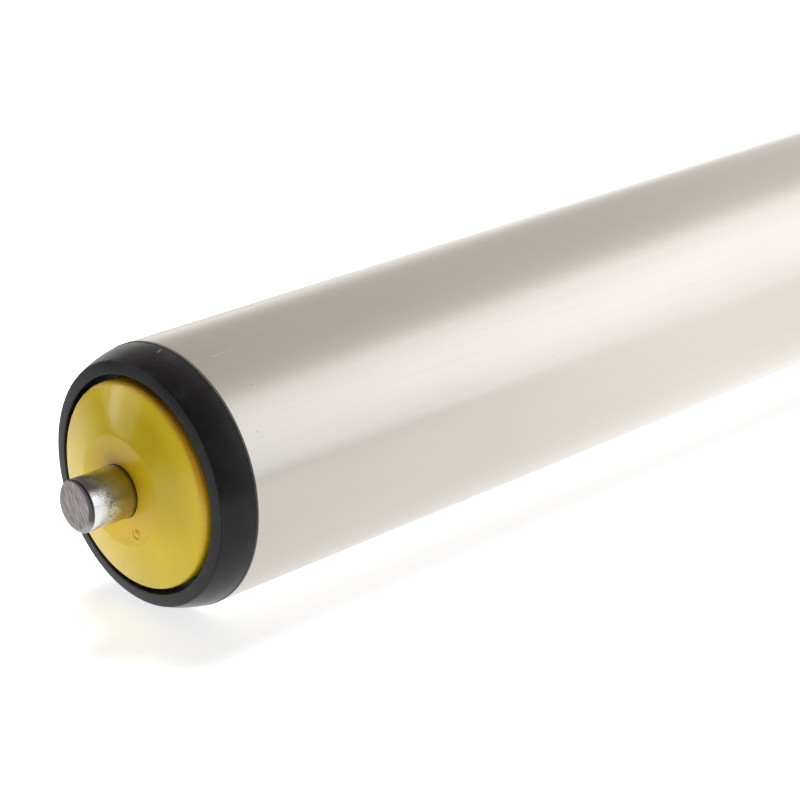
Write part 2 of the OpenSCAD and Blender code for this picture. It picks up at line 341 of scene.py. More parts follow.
def new_tree(name, kind, inputs, outputs):
    """An empty node tree with named inputs (name, socket type, default) and outputs (name, socket type)."""
    tree = bpy.data.node_groups.new(name, kind)
    for label, socket_type, default in inputs:
        socket = tree.interface.new_socket(label, in_out="INPUT", socket_type=socket_type)
        if default is not None:
            socket.default_value = default
    for label, socket_type in outputs:
        tree.interface.new_socket(label, in_out="OUTPUT", socket_type=socket_type)
    return tree, tree.nodes.new("NodeGroupInput").outputs, tree.nodes.new("NodeGroupOutput").inputs


# ---------------------------------------------------------------- Geometry Nodes
GEOMETRY = "NodeSocketGeometry"
FLOAT = "NodeSocketFloat"
INTEGER = "NodeSocketInt"
VECTOR = "NodeSocketVector"
LATHE_INPUTS = [("Outline", GEOMETRY, None), ("Segments", INTEGER, 192)]


def lathe_tree():
    """Turns an outline of edges in the XY plane about Y: a grid whose columns are copies of the outline."""
    tree, given, out = new_tree("lathe", "GeometryNodeTree", LATHE_INPUTS, [("Geometry", GEOMETRY)])
    size = add(tree, "GeometryNodeAttributeDomainSize", {0: given["Outline"]}, component="MESH")
    points = size.outputs["Point Count"]
    columns = math_node(tree, "ADD", given["Segments"], 1)
    grid = add(tree, "GeometryNodeMeshGrid", {"Vertices X": columns, "Vertices Y": points})
    index = add(tree, "GeometryNodeInputIndex").outputs[0]
    column = add(tree, "FunctionNodeIntegerMath", {0: index, 1: points}, operation="DIVIDE_FLOOR").outputs[0]
    row = add(tree, "FunctionNodeIntegerMath", {0: index, 1: points}, operation="MODULO").outputs[0]
    place = add(tree, "GeometryNodeInputPosition").outputs[0]
    sample = add(tree, "GeometryNodeSampleIndex", {
        "Geometry": given["Outline"], "Value": place, "Index": row,
    }, data_type="FLOAT_VECTOR", domain="POINT")
    share = math_node(tree, "DIVIDE", column, given["Segments"])
    angle = math_node(tree, "MULTIPLY", share, 2 * math.pi)
    turned = add(tree, "ShaderNodeVectorRotate", {
        "Vector": sample.outputs[0], "Angle": angle,
    }, rotation_type="Y_AXIS")
    shaped = add(tree, "GeometryNodeSetPosition", {
        "Geometry": grid.outputs["Mesh"], "Position": turned.outputs[0],
    })
    merged = add(tree, "GeometryNodeMergeByDistance", {"Geometry": shaped.outputs[0], "Distance": 1e-6})
    tree.links.new(merged.outputs[0], out["Geometry"])
    return tree


def block_ring_tree():
    """Equal blocks round the Y axis, for ribs and webs."""
    tree, given, out = new_tree(
        "ring of blocks", "GeometryNodeTree",
        [
            ("Count", INTEGER, 8), ("Block Size", VECTOR, None), ("Block Place", VECTOR, None),
            ("First Turn", FLOAT, 0.0),
        ],
        [("Geometry", GEOMETRY)],
    )
    cube = add(tree, "GeometryNodeMeshCube", {"Size": given["Block Size"]})
    block = add(tree, "GeometryNodeTransform", {
        "Geometry": cube.outputs["Mesh"], "Translation": given["Block Place"],
    })
    spots = add(tree, "GeometryNodePoints", {"Count": given["Count"]})
    index = add(tree, "GeometryNodeInputIndex").outputs[0]
    share = math_node(tree, "DIVIDE", math_node(tree, "ADD", index, given["First Turn"]), given["Count"])
    angle = math_node(tree, "MULTIPLY", share, 2 * math.pi)
    turn = add(tree, "ShaderNodeCombineXYZ", {"Y": angle})
    placed = add(tree, "GeometryNodeInstanceOnPoints", {
        "Points": spots.outputs[0], "Instance": block.outputs[0], "Rotation": turn.outputs[0],
    })
    real = add(tree, "GeometryNodeRealizeInstances", {0: placed.outputs[0]})
    tree.links.new(real.outputs[0], out["Geometry"])
    return tree


def turned_body(tree, lathe, given):
    """The lathe's result, for the outline and segments given to the tree."""
    return add(tree, "GeometryNodeGroup", {
        "Outline": given["Outline"], "Segments": given["Segments"],
    }, node_tree=lathe)


def finished(tree, geometry, out, look):
    """Ends a tree in Realize Instances and Set Material."""
    real = add(tree, "GeometryNodeRealizeInstances", {0: geometry})
    dressed = add(tree, "GeometryNodeSetMaterial", {"Geometry": real.outputs[0], "Material": look})
    tree.links.new(dressed.outputs[0], out["Geometry"])


def turned_tree(name, lathe, look):
    """A plain turned piece."""
    tree, given, out = new_tree(name, "GeometryNodeTree", LATHE_INPUTS, [("Geometry", GEOMETRY)])
    finished(tree, turned_body(tree, lathe, given).outputs[0], out, look)
    return tree


def housing_tree(lathe, blocks, look):
    """Turned housing joined with the grip ribs round its plug and the webs that carry the bearing seat."""
    tree, given, out = new_tree(
        "moulded housing", "GeometryNodeTree",
        LATHE_INPUTS + [
            ("Grips", INTEGER, 16), ("Grip Size", VECTOR, None), ("Grip Place", VECTOR, None),
            ("Webs", INTEGER, 8), ("Web Size", VECTOR, None), ("Web Place", VECTOR, None),
        ],
        [("Geometry", GEOMETRY)],
    )
    body = turned_body(tree, lathe, given)
    grips = add(tree, "GeometryNodeGroup", {
        "Count": given["Grips"], "Block Size": given["Grip Size"], "Block Place": given["Grip Place"],
    }, node_tree=blocks)
    webs = add(tree, "GeometryNodeGroup", {
        "Count": given["Webs"], "Block Size": given["Web Size"], "Block Place": given["Web Place"],
        "First Turn": 0.5,
    }, node_tree=blocks)
    joined = add(tree, "GeometryNodeMeshBoolean", operation="UNION", solver="EXACT")
    for part in (body, grips, webs):
        tree.links.new(part.outputs[0], joined.inputs["Mesh 2"])
    finished(tree, joined.outputs[0], out, look)
    return tree


def disc_tree(lathe, look):
    """Turned seal disc with the moulding's gate mark: a fine ring groove with a nub in it."""
    tree, given, out = new_tree(
        "moulded disc", "GeometryNodeTree",
        LATHE_INPUTS + [
            ("Gate Radius", FLOAT, 0.0), ("Gate Place", VECTOR, None), ("Gate Line", FLOAT, 0.0),
            ("Nub Radius", FLOAT, 0.0), ("Nub Place", VECTOR, None),
        ],
        [("Geometry", GEOMETRY)],
    )
    body = turned_body(tree, lathe, given)
    path = add(tree, "GeometryNodeCurvePrimitiveCircle", {"Resolution": 40, "Radius": given["Gate Radius"]})
    wire = add(tree, "GeometryNodeCurvePrimitiveCircle", {"Resolution": 12, "Radius": given["Gate Line"]})
    loop = add(tree, "GeometryNodeCurveToMesh", {"Curve": path.outputs[0], "Profile Curve": wire.outputs[0]})
    placed = add(tree, "GeometryNodeTransform", {
        "Geometry": loop.outputs[0], "Translation": given["Gate Place"],
        "Rotation": (math.pi / 2, 0, 0),
    })
    cut = add(tree, "GeometryNodeMeshBoolean", {
        "Mesh 1": body.outputs[0],
    }, operation="DIFFERENCE", solver="EXACT")
    tree.links.new(placed.outputs[0], cut.inputs["Mesh 2"])
    ball = add(tree, "GeometryNodeMeshUVSphere", {"Segments": 24, "Rings": 16, "Radius": given["Nub Radius"]})
    nub = add(tree, "GeometryNodeTransform", {"Geometry": ball.outputs[0], "Translation": given["Nub Place"]})
    joined = add(tree, "GeometryNodeMeshBoolean", operation="UNION", solver="EXACT")
    for part in (cut, nub):
        tree.links.new(part.outputs[0], joined.inputs["Mesh 2"])
    finished(tree, joined.outputs[0], out, look)
    return tree


def coil_tree(look):
    """Round wire along a path of edges."""
    tree, given, out = new_tree(
        "coiled wire", "GeometryNodeTree",
        [("Path", GEOMETRY, None), ("Wire Radius", FLOAT, 0.0), ("Sides", INTEGER, 16)],
        [("Geometry", GEOMETRY)],
    )
    path = add(tree, "GeometryNodeMeshToCurve", {"Mesh": given["Path"]})
    wire = add(tree, "GeometryNodeCurvePrimitiveCircle", {
        "Resolution": given["Sides"], "Radius": given["Wire Radius"],
    })
    swept = add(tree, "GeometryNodeCurveToMesh", {
        "Curve": path.outputs[0], "Profile Curve": wire.outputs[0], "Fill Caps": True,
    })
    finished(tree, swept.outputs[0], out, look)
    return tree


def edges_object(name, points):
    """An object whose mesh is one run of edges through the points, given in millimetres."""
    mesh = bpy.data.meshes.new(name)
    steps = [(i, i + 1) for i in range(len(points) - 1)]
    mesh.from_pydata([tuple(c * MM for c in p) for p in points], steps, [])
    piece = bpy.data.objects.new(name, mesh)
    bpy.context.scene.collection.objects.link(piece)
    return piece


def baked(piece, tree, values, sharp=35):
    """Runs the tree on the piece, keeps the result as its plain mesh and turns the faces outwards."""
    modifier = piece.modifiers.new("shape", "NODES")
    modifier.node_group = tree
    sockets = {item.name: item.identifier for item in tree.interface.items_tree if item.in_out == "INPUT"}
    for label, value in values.items():
        modifier[sockets[label]] = value
    bpy.context.view_layer.update()
    depsgraph = bpy.context.evaluated_depsgraph_get()
    mesh = bpy.data.meshes.new_from_object(piece.evaluated_get(depsgraph), depsgraph=depsgraph)
    piece.modifiers.remove(modifier)
    mesh.name = piece.name
    piece.data = mesh
    look = mesh.materials[-1]
    mesh.materials.clear()
    mesh.materials.append(look)
    work = bmesh.new()
    work.from_mesh(mesh)
    bmesh.ops.remove_doubles(work, verts=work.verts, dist=1e-7)
    bmesh.ops.recalc_face_normals(work, faces=work.faces)
    work.to_mesh(mesh)
    work.free()
    mesh.shade_smooth()
    mesh.set_sharp_from_angle(angle=math.radians(sharp))
    return piece


def outline_at(end, outline):
    """A closed outline of (radius, height over the tube's end) as points of the XY plane at that end."""
    side = ENDS[end]
    points = [(p.x, side * (tube_half + p.y), 0) for p in outline]
    return points + points[:1]


# ---------------------------------------------------------------- shared shader groups
def object_place(tree):
    return add(tree, "ShaderNodeTexCoord").outputs["Object"]


def grain_group():
    """Fine surface grain: a mask from 0 to 1 and the normal that it bumps."""
    tree, given, out = new_tree(
        "surface grain", "ShaderNodeTree",
        [
            ("Scale", VECTOR, None), ("Detail", FLOAT, 4.0),
            ("Height", FLOAT, 0.00001), ("Strength", FLOAT, 0.3),
        ],
        [("Mask", FLOAT), ("Normal", VECTOR)],
    )
    scaled = vector_node(tree, "MULTIPLY", object_place(tree), given["Scale"])
    noise = add(tree, "ShaderNodeTexNoise", {"Vector": scaled, "Scale": 1.0, "Detail": given["Detail"]})
    mask = graded(tree, noise.outputs["Fac"], 0.3, 0.7)
    bump = add(tree, "ShaderNodeBump", {
        "Height": mask, "Distance": given["Height"], "Strength": given["Strength"],
    })
    tree.links.new(mask, out["Mask"])
    tree.links.new(bump.outputs[0], out["Normal"])
    return tree


def hair_group():
    """One straight hair scratch or speck: a mask that is 1 on the line between two points."""
    tree, given, out = new_tree(
        "hair scratch", "ShaderNodeTree",
        [("From", VECTOR, None), ("To", VECTOR, None), ("Width", FLOAT, 0.0001)],
        [("Mask", FLOAT)],
    )
    run = vector_node(tree, "SUBTRACT", given["To"], given["From"])
    off = vector_node(tree, "SUBTRACT", object_place(tree), given["From"])
    gone = vector_node(tree, "DOT_PRODUCT", off, run)
    whole = vector_node(tree, "DOT_PRODUCT", run, run)
    share = graded(tree, math_node(tree, "DIVIDE", gone, whole), 0.0, 1.0)
    along = add(tree, "ShaderNodeVectorMath", {0: run, "Scale": share}, operation="SCALE").outputs[0]
    away = vector_node(tree, "DISTANCE", off, along)
    tree.links.new(graded(tree, away, 0.0, given["Width"], 1.0, 0.0), out["Mask"])
    return tree


def ring_group():
    """A mask by distance from the Y axis, or from a line beside it: 0 at the inner radius, 1 at the outer."""
    tree, given, out = new_tree(
        "ring mask", "ShaderNodeTree",
        [("Centre", VECTOR, None), ("Inner", FLOAT, 0.0), ("Outer", FLOAT, 0.001)],
        [("Mask", FLOAT)],
    )
    across = vector_node(tree, "MULTIPLY", object_place(tree), (1, 0, 1))
    radius = vector_node(tree, "DISTANCE", across, given["Centre"])
    tree.links.new(graded(tree, radius, given["Inner"], given["Outer"]), out["Mask"])
    return tree


GRAIN = grain_group()
HAIR = hair_group()
RING = ring_group()


# ---------------------------------------------------------------- materials
def material(name):
    """A new material, its tree and its Principled BSDF."""
    made = bpy.data.materials.new(name)
    made.use_nodes = True
    tree = made.node_tree
    return made, tree, tree.nodes["Principled BSDF"]


def fixed(shader, **values):
    """Sets plain values on the shader's own sockets."""
    for key, value in values.items():
        shader.inputs[key.replace("_", " ")].default_value = value


def grain(tree, scale, detail=4.0, height=0.00001, strength=0.3):
    return add(tree, "ShaderNodeGroup", {
        "Scale": scale, "Detail": detail, "Height": height, "Strength": strength,
    }, node_tree=GRAIN).outputs


def hairs(tree, width, lines):
    """A mask of hair scratches from point to point, in millimetres. From a point to itself is a speck."""
    mask = None
    for start, end in lines:
        line = add(tree, "ShaderNodeGroup", {
            "From": Vector(start) * MM, "To": Vector(end) * MM, "Width": width * MM,
        }, node_tree=HAIR).outputs[0]
        mask = line if mask is None else math_node(tree, "MAXIMUM", mask, line)
    return mask


def ring_mask(tree, inner, outer, centre=(0, 0, 0)):
    """A mask that rises from 0 to 1 between two radii, in millimetres."""
    return add(tree, "ShaderNodeGroup", {
        "Centre": Vector(centre) * MM, "Inner": inner * MM, "Outer": outer * MM,
    }, node_tree=RING).outputs[0]


def spread(tree, mask, low, high):
    """Spreads a mask over a range of values."""
    return graded(tree, mask, 0.0, 1.0, low, high)


def blended(tree, mask, first, second):
    """Mixes two colours by a mask."""
    first, second = (
        colour if isinstance(colour, bpy.types.NodeSocket) else (*colour, 1.0) for colour in (first, second)
    )
    return add(tree, "ShaderNodeMix", {0: mask, 6: first, 7: second}, data_type="RGBA").outputs[2]


def feed(tree, shader, **links):
    """Links what changes over the surface to the shader's sockets."""
    for key, value in links.items():
        tree.links.new(value, shader.inputs[key.replace("_", " ")])


def tube_zinc():
    """Satin zinc plating on drawn tube: fine lengthwise lines, faint clouds, two scratches, two specks."""
    made, tree, shader = material("tube_satin_zinc")
    fixed(shader, Metallic=1.0)
    clouds = grain(tree, (26, 9, 26), 3.0)
    drawn = grain(tree, (1600, 26, 1600), 3.0, 0.0000012, 0.35)
    marks = hairs(tree, 0.16, [
        ((7.94, -145.3, 23.7), (7.92, -142.5, 23.7)),
        ((7.92, -141.6, 23.7), (7.86, -140.4, 23.7)),
    ])
    specks = hairs(tree, 0.22, [
        ((15.4, -142.7, 19.7), (15.4, -142.7, 19.7)),
        ((21.1, -146.5, 13.4), (21.1, -146.5, 13.4)),
    ])
    colour = blended(tree, clouds["Mask"], (0.60, 0.555, 0.50), (0.66, 0.615, 0.555))
    scratched = blended(tree, marks, colour, (0.78, 0.74, 0.65))
    feed(tree, shader,
         Base_Color=blended(tree, specks, scratched, (0.34, 0.32, 0.29)),
         Roughness=spread(tree, drawn["Mask"], 0.19, 0.26),
         Normal=drawn["Normal"])
    return made


def housing_black():
    """Black moulding with a low sheen, orange peel, handling dust, a nick and a lighter grey ring at the lip
    painted as a highlight.
    """
    made, tree, shader = material("housing_black_plastic")
    fixed(shader, Specular_IOR_Level=0.32)
    peel = grain(tree, (900, 900, 900), 2.0, 0.000010, 0.2)
    dust = grain(tree, (240, 240, 240), 6.0)
    haze = math_node(tree, "POWER", dust["Mask"], 3.0)
    black = blended(tree, haze, (0.0070, 0.0060, 0.0062), (0.016, 0.015, 0.0148))
    # Painted highlight: a lighter grey ring at the lip's edge.
    painted_lip_highlight = ring_mask(tree, tube_r - 0.12, tube_r - 0.04)
    black_with_lip_highlight = blended(tree, painted_lip_highlight, black, (0.065, 0.060, 0.054))
    nick = hairs(tree, 0.16, [((1.42, -152.2, 24.6), (1.09, -151.2, 24.8))])
    feed(tree, shader,
         Base_Color=blended(tree, nick, black_with_lip_highlight, (0.20, 0.19, 0.175)),
         Roughness=spread(tree, dust["Mask"], 0.24, 0.34),
         Normal=peel["Normal"])
    return made


def disc_yellow():
    """Glossy lemon yellow moulding, faintly clouded, with painted light: a warm glow round the axle for its
    reflection and light in the plastic, and on the upper right a paler flank and a rim in painted
    orange-brown shade.
    """
    made, tree, shader = material("disc_yellow_plastic")
    fixed(shader, IOR=1.45)
    flow = grain(tree, (90, 90, 90), 2.0)
    peel = grain(tree, (700, 700, 700), 2.0, 0.000008, 0.2)
    # Painted warm glow round the axle: it stands in for the axle's reflection and light in the yellow
    # plastic.
    outer = ring_mask(tree, boss_r, disc_flat_r + 1)
    # Painted light on the upper right: the flank is painted paler, as if lit, and the rim orange-brown, as if
    # shaded.
    painted_flank_mask = ring_mask(tree, disc_r - 4.5, disc_r - 2)
    painted_rim_mask = ring_mask(tree, disc_r - 1.2, disc_r - 0.4)
    aside = vector_node(tree, "DOT_PRODUCT", object_place(tree), (0.6, 0, 0.8))
    painted_light_side = graded(tree, aside, 0.002, 0.018)
    lemon = blended(tree, flow["Mask"], (0.53, 0.385, 0.008), (0.585, 0.43, 0.014))
    painted_lit_flank = blended(tree, math_node(tree, "MULTIPLY", painted_flank_mask, painted_light_side), lemon, (0.68, 0.50, 0.018))
    body = blended(tree, math_node(tree, "MULTIPLY", painted_rim_mask, painted_light_side), painted_lit_flank, (0.68, 0.36, 0.020))
    feed(tree, shader,
         Base_Color=blended(tree, outer, (0.62, 0.395, 0.010), body),
         Roughness=spread(tree, flow["Mask"], 0.09, 0.13),
         Normal=peel["Normal"])
    return made


def axle_zinc():
    """Bright zinc on bar stock: olive near the seal disc with painted shade where it meets it, a painted
    highlight further out and a painted dark reflection on the tip's upper side.
    """
    made, tree, shader = material("axle_bright_zinc")
    fixed(shader, Metallic=1.0)
    face = (tube_half + disc_top) * MM
    sparkle = grain(tree, (2400, 2400, 2400), 3.0, 0.000005, 0.4)
    clouds = grain(tree, (420, 180, 420), 4.0)
    axes = add(tree, "ShaderNodeSeparateXYZ", {0: object_place(tree)}).outputs
    reach = math_node(tree, "ABSOLUTE", axes[1])
    drift = math_node(tree, "MULTIPLY_ADD", clouds["Mask"], 0.0016, reach)
    climb = graded(tree, axes[2], 0.0010, 0.0045, 0.0, -0.0045)
    # Painted highlight: a bright tone further out from the disc. Its edge is speckled and it shrinks towards
    # the top.
    highlight_reach = math_node(tree, "MULTIPLY_ADD", sparkle["Mask"], 0.0030, math_node(tree, "ADD", drift, climb))
    painted_highlight_mask = graded(tree, highlight_reach, face + 0.0066, face + 0.0088)
    # Painted dark reflection on the upper side of the tip.
    tip = graded(tree, drift, face + 0.0076, face + 0.0090)
    painted_tip_reflection = math_node(tree, "MULTIPLY", tip, graded(tree, axes[2], 0.0028, 0.0040))
    # Painted shade: a dark brown band on the axle where it meets the seal disc.
    painted_contact_shade = graded(tree, reach, face + 0.0001, face + 0.0010, 0.85, 0.0)
    olive = blended(tree, clouds["Mask"], (0.36, 0.345, 0.26), (0.48, 0.46, 0.37))
    highlight_tone = blended(tree, clouds["Mask"], (0.93, 0.92, 0.90), (0.98, 0.975, 0.96))
    plating = blended(tree, painted_contact_shade, blended(tree, painted_highlight_mask, olive, highlight_tone), (0.09, 0.06, 0.025))
    feed(tree, shader,
         Base_Color=blended(tree, painted_tip_reflection, plating, (0.17, 0.145, 0.15)),
         Roughness=spread(tree, sparkle["Mask"], 0.15, 0.27),
         Normal=sparkle["Normal"])
    return made


def axle_sawn():
    """Sawn end of the axle: straight saw lines over dull metal, and a crescent at its rim with painted shade
    on its upper part.
    """
    made, tree, shader = material("axle_sawn_end")
    fixed(shader, Metallic=1.0)
    saw_turn = math.radians(33)
    saw_scale = (5200, 1, 420)
    crescent_centre = (-0.9, 0, 0)
    place = object_place(tree)
    turned = add(tree, "ShaderNodeVectorRotate", {
        "Vector": place, "Angle": saw_turn,
    }, rotation_type="Y_AXIS").outputs[0]
    scaled = vector_node(tree, "MULTIPLY", turned, saw_scale)
    lines = add(tree, "ShaderNodeTexNoise", {"Vector": scaled, "Scale": 1.0, "Detail": 4.0}).outputs["Fac"]
    sharp = graded(tree, lines, 0.36, 0.64)
    bump = add(tree, "ShaderNodeBump", {"Height": sharp, "Distance": 0.00002, "Strength": 0.5}).outputs[0]
    # Painted shade: a crescent at the face's rim, light grey below and dark on its upper part.
    painted_shade_crescent = ring_mask(tree, axle_r - 0.6, axle_r - 0.35, crescent_centre)
    height = add(tree, "ShaderNodeSeparateXYZ", {0: place}).outputs[2]
    painted_shade_top = graded(tree, height, -0.0030, -0.0012)
    metal = blended(tree, sharp, (0.20, 0.175, 0.178), (0.50, 0.455, 0.45))
    painted_rim_shade = blended(tree, painted_shade_top, (0.46, 0.43, 0.43), (0.12, 0.10, 0.105))
    feed(tree, shader,
         Base_Color=blended(tree, painted_shade_crescent, metal, painted_rim_shade),
         Roughness=spread(tree, sharp, 0.5, 0.36),
         Normal=bump)
    return made


def ground_steel(name, tone, low, high, scale):
    """Ground or drawn steel: fine lines in the direction that the scale stretches."""
    made, tree, shader = material(name)
    fixed(shader, Metallic=1.0)
    lines = grain(tree, scale, 3.0, 0.000002, 0.3)
    lighter = tuple(c * 1.15 for c in tone)
    feed(tree, shader,
         Base_Color=blended(tree, lines["Mask"], tone, lighter),
         Roughness=spread(tree, lines["Mask"], low, high),
         Normal=lines["Normal"])
    return made


def cage_nylon():
    """Matt off-white nylon."""
    made, tree, shader = material("cage_nylon")
    fixed(shader, IOR=1.53)
    skin = grain(tree, (500, 500, 500), 3.0, 0.00001, 0.3)
    feed(tree, shader,
         Base_Color=blended(tree, skin["Mask"], (0.70, 0.67, 0.58), (0.78, 0.75, 0.66)),
         Roughness=spread(tree, skin["Mask"], 0.45, 0.6),
         Normal=skin["Normal"])
    return made


# ---------------------------------------------------------------- pieces
def stands_for(piece, body, slot_name, *nodes):
    """The piece rides on its body and hides the CAD nodes that it stands for. The slot name is not used."""
    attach(piece, body)
    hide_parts(*nodes)


def make_tube(lathe, look):
    points = [(p.x, p.y, 0) for p in tube_outline()]
    piece = edges_object("tube_skin", points + points[:1])
    baked(piece, turned_tree("turned tube", lathe, look), {"Segments": 256})
    stands_for(piece, "shell", "tube", "tube")


def make_axle(lathe, look, saw_look):
    points = [(p.x, p.y, 0) for p in axle_outline()]
    piece = edges_object("axle_bar", points)
    baked(piece, turned_tree("turned axle", lathe, look), {"Segments": 128})
    piece.data.materials.append(saw_look)
    for face in piece.data.polygons:
        if abs(face.center.y) > (axle_half - axle_chamfer) * MM:
            face.material_index = 1
    stands_for(piece, "axle", "axle", "axle")


def make_housings(lathe, look):
    tree = housing_tree(lathe, block_ring_tree(), look)
    web_top = core_top + root
    for end, side in ENDS.items():
        piece = edges_object(end + "_housing_shell", outline_at(end, housing_outline()))
        grip_y = side * (tube_half - plug_lead - grip_len / 2)
        web_y = side * (tube_half + (floor_bottom + web_top) / 2)
        baked(piece, tree, {
            "Segments": 192,
            "Grips": grip_count,
            "Grip Size": ((grip_r - plug_r + root) * MM, grip_len * MM, grip_w * MM),
            "Grip Place": ((grip_r + plug_r - root) / 2 * MM, grip_y * MM, 0),
            "Webs": web_count,
            "Web Size": ((skin_r - seat_outer_r + 2 * root) * MM, (web_top - floor_bottom) * MM, web_t * MM),
            "Web Place": ((skin_r + seat_outer_r) / 2 * MM, web_y * MM, 0),
        })
        stands_for(piece, "shell", "housing", end + "_housing")


def make_discs(lathe, look):
    tree = disc_tree(lathe, look)

    def at_gate(side, height):
        """The middle of the gate mark, at a height over the disc's face."""
        return Vector((
            gate_at * math.cos(gate_turn),
            side * (tube_half + disc_top + height),
            gate_at * math.sin(gate_turn),
        )) * MM

    for end, side in ENDS.items():
        piece = edges_object(end + "_seal_cover", outline_at(end, disc_outline()))
        baked(piece, tree, {
            "Segments": 192,
            "Gate Radius": gate_r * MM,
            "Gate Place": at_gate(side, gate_line_lift),
            "Gate Line": gate_line_r * MM,
            "Nub Radius": nub_r * MM,
            "Nub Place": at_gate(side, -nub_sink),
        })
        stands_for(piece, "hub", "disc", end + "_seal_disc")


def make_spring(look):
    """Compression spring with a closed turn at each end."""
    low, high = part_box("spring")
    open_length = (high.y - low.y) / MM - 2 * wire_r - 2 * closed_pitch
    points = []
    for i in range(coil_steps * (coil_turns + 2) + 1):
        turn = i / coil_steps
        closed_turns = min(turn, 1) + max(turn - 1 - coil_turns, 0)
        open_turns = min(max(turn - 1, 0), coil_turns)
        y = low.y / MM + wire_r + closed_pitch * closed_turns + open_length * open_turns / coil_turns
        angle = 2 * math.pi * turn
        points.append((coil_r * math.cos(angle), y, coil_r * math.sin(angle)))
    piece = edges_object("press_spring", points)
    baked(piece, coil_tree(look), {"Wire Radius": wire_r * MM})
    stands_for(piece, "axle", "spring", "spring")
    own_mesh(piece)


def dress_frame(looks):
    """Gives every CAD node that stays in view the finish that its name ends in, a number aside."""
    for name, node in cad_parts.items():
        kind = name.rstrip("0123456789_").split("_")[-1]
        if kind in looks and not node.hide_render:
            node.data.materials.clear()
            node.data.materials.append(looks[kind])


# ---------------------------------------------------------------- studio
def ramp(tree, value, stops):
    """A straight-line curve through (value, level) stops."""
    low, high = stops[0][0], stops[-1][0]
    peak = max(level for _, level in stops)
    made = add(tree, "ShaderNodeValToRGB", {0: graded(tree, value, low, high)})
    points = made.color_ramp.elements
    while len(points) < len(stops):
        points.new(0.5)
    for point, (at, level) in zip(points, stops):
        point.position = (at - low) / (high - low)
        point.color = (level / peak, level / peak, level / peak, 1)
    grey = add(tree, "ShaderNodeSeparateColor", {0: made.outputs[0]}).outputs[0]
    return math_node(tree, "MULTIPLY", grey, peak)


def ray_masks(tree):
    """Two masks: one for what the camera sees, also through glass, and one for reflections."""
    rays = add(tree, "ShaderNodeLightPath").outputs
    seen = math_node(tree, "MAXIMUM", rays["Is Camera Ray"], rays["Is Transmission Ray"])
    return seen, rays["Is Glossy Ray"]


def make_floor():
    """Wide pale floor under the roller. It keeps the roller's shadow and turns white further off.

    Reflections see it dark in front, brighter towards the back and dimmer to both sides.
    """
    half, z = 6.0, cad_box[0].z
    grey, white = (0.8, 0.8, 0.8, 1), (1, 1, 1, 1)
    mesh = bpy.data.meshes.new("studio_floor")
    corners = [(-half, -half, z), (half, -half, z), (half, half, z), (-half, half, z)]
    mesh.from_pydata(corners, [], [(0, 1, 2, 3)])
    floor = bpy.data.objects.new("studio_floor", mesh)
    bpy.context.scene.collection.objects.link(floor)
    made = bpy.data.materials.new("studio_floor_white")
    made.use_nodes = True
    tree = made.node_tree
    tree.nodes.clear()
    seen, reflected = ray_masks(tree)
    place = object_place(tree)
    axes = add(tree, "ShaderNodeSeparateXYZ", {0: place}).outputs
    beside = math_node(tree, "ABSOLUTE", axes[0])
    depth = math_node(tree, "MULTIPLY_ADD", beside, -0.9, axes[1])
    mirrored = ramp(tree, depth, [
        (-1.0, 0.15), (-0.50, 0.45), (-0.30, 1.0), (-0.18, 1.0), (-0.11, 1.12), (-0.02, 1.26), (0.10, 1.32),
    ])
    matt = add(tree, "ShaderNodeBsdfDiffuse", {"Color": grey})
    glow = graded(tree, vector_node(tree, "LENGTH", place), 0.4, 1.2, 0.75, 1.0)
    lift = add(tree, "ShaderNodeEmission", {
        "Color": white, "Strength": math_node(tree, "MULTIPLY", glow, seen),
    })
    lit = add(tree, "ShaderNodeAddShader", {0: matt.outputs[0], 1: lift.outputs[0]})
    mirror = add(tree, "ShaderNodeEmission", {"Color": white, "Strength": mirrored})
    both = add(tree, "ShaderNodeMixShader", {0: reflected, 1: lit.outputs[0], 2: mirror.outputs[0]})
    add(tree, "ShaderNodeOutputMaterial", {"Surface": both.outputs[0]})
    mesh.materials.append(made)


